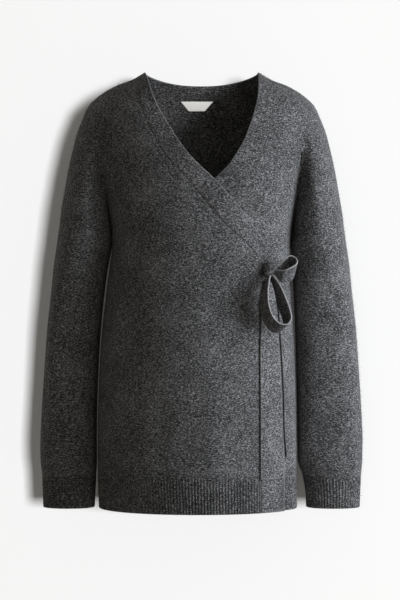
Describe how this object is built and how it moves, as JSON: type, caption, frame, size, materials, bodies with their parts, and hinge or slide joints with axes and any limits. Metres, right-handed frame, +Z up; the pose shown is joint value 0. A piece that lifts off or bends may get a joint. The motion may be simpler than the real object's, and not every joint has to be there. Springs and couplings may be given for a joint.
{
  "type": "wrap cardigan",
  "caption": "Hip-length wrap cardigan in soft melange knit with dropped sleeves, ribbed hem and cuffs, a banded V neck and a side bow, filled out as worn and hollow",
  "frame": {"origin": "midway between the two neck points of the shoulder line, at their height, where the wearer's shoulders carry the garment", "axes": "+Z up, -Y the garment's front, +X the wearer's left; the wearer's right front lies on top"},
  "size_m": [0.5116, 0.254, 0.687],
  "materials": {
    "knit": "soft brushed melange knit, charcoal grey",
    "rib_knit": "the same yarn in a fine rib",
    "label_cloth": "smooth white woven tape, bare"
  },
  "bodies": {
    "root": {"back": "knit", "right_front": "knit", "left_front": "knit", "right_sleeve": "knit", "left_sleeve": "knit", "neck_band": "knit", "right_front_band": "knit", "left_front_band": "knit", "tie_knot": "knit", "tie_upper_loop": "knit", "tie_lower_loop": "knit", "tie_front_tail": "knit", "tie_back_tail": "knit", "back_hem_rib": "rib_knit", "right_front_hem_rib": "rib_knit", "left_front_hem_rib": "rib_knit", "right_cuff": "rib_knit", "left_cuff": "rib_knit", "neck_label": "label_cloth"}
  },
  "joints": []
}
